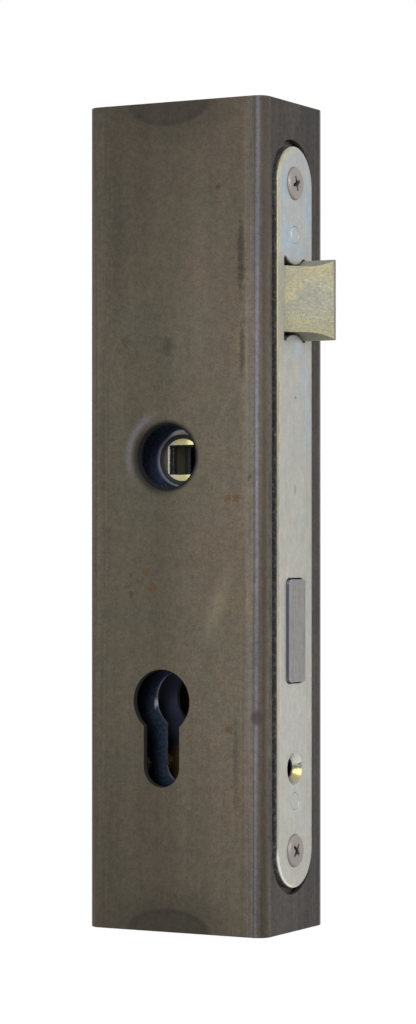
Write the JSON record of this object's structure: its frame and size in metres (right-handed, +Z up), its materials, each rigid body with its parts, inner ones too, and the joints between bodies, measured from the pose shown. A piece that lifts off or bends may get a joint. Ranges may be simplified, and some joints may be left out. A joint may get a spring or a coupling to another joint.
{
  "type": "mortise lock in a weld-in lock box",
  "caption": "Mortise lock with slanted latch, deadbolt, spindle follower and profile-cylinder hole, fitted in a length of rectangular steel tube that is welded into a gate frame.",
  "frame": {"origin": "centre of the box tube's lower end", "axes": "+X the way the bolts shoot, out of the faceplate; -Y the side the latch slants towards; +Z up"},
  "size_m": [0.0703, 0.04, 0.246],
  "materials": {
    "mill_scale": "raw hot-rolled tube with mill scale",
    "bracket_steel": "dark bent strip and weld metal",
    "bright_zinc": "bright zinc plate",
    "screw_steel": "plated screw, slightly pink grey",
    "blue_zinc": "blue passivated sheet",
    "yellow_zinc": "yellow passivated zinc",
    "black_plastic": "moulded bearing plastic",
    "chromate": "cast head, dull yellow chromate",
    "grey_steel": "plain zinc grey",
    "spring_steel": "spring wire"
  },
  "bodies": {
    "lock_box": {"box_tube": "mill_scale", "upper_bracket": "bracket_steel", "lower_bracket": "bracket_steel", "bracket_welds": "bracket_steel", "faceplate": "bright_zinc", "faceplate_screws": "screw_steel", "faceplate_rivets": "bright_zinc", "case_tray": "blue_zinc", "case_cover": "blue_zinc", "spacer_posts": "yellow_zinc", "cover_screws": "yellow_zinc", "latch_guide_post": "yellow_zinc", "bolt_guide_post": "yellow_zinc", "tumbler_pivot": "yellow_zinc", "follower_bushes": "black_plastic", "follower_spring": "spring_steel", "latch_spring": "spring_steel", "tumbler_spring": "spring_steel"},
    "follower": {"follower_cheeks": "yellow_zinc", "follower_arm": "grey_steel", "follower_dowels": "grey_steel"},
    "latch": {"latch_head": "chromate", "latch_tail": "grey_steel", "latch_pin": "grey_steel"},
    "deadbolt": {"deadbolt_head": "grey_steel", "deadbolt_tail": "grey_steel", "deadbolt_rivets": "grey_steel"},
    "tumbler": {"tumbler": "yellow_zinc", "tumbler_stump": "grey_steel"}
  },
  "joints": [
    {"name": "follower_turn", "type": "hinge", "parent": "lock_box", "child": "follower", "pos_m": [-0.0044, -0.0004, 0.1403], "axis": [0, -1, 0], "range_deg": [0, 32], "stiffness_Nm_per_rad": 0.8, "springref_deg": -14.32, "deforming": ["follower_spring"]},
    {"name": "latch_slide", "type": "slide", "parent": "lock_box", "child": "latch", "axis": [-1, 0, 0], "range_m": [0, 0.01], "stiffness_N_per_m": 300, "springref_m": -0.008, "deforming": ["latch_spring"]},
    {"name": "deadbolt_throw", "type": "slide", "parent": "lock_box", "child": "deadbolt", "axis": [1, 0, 0], "range_m": [0, 0.0145]},
    {"name": "tumbler_lift", "type": "hinge", "parent": "lock_box", "child": "tumbler", "pos_m": [-0.0138, -0.0004, 0.11], "axis": [0, -1, 0], "range_deg": [0, 9], "stiffness_Nm_per_rad": 0.08, "springref_deg": -8.59, "deforming": ["tumbler_spring"]}
  ],
  "couplings": [
    {"joint": "follower_turn", "follows": "latch_slide", "rad_per_m": 55.8}
  ]
}
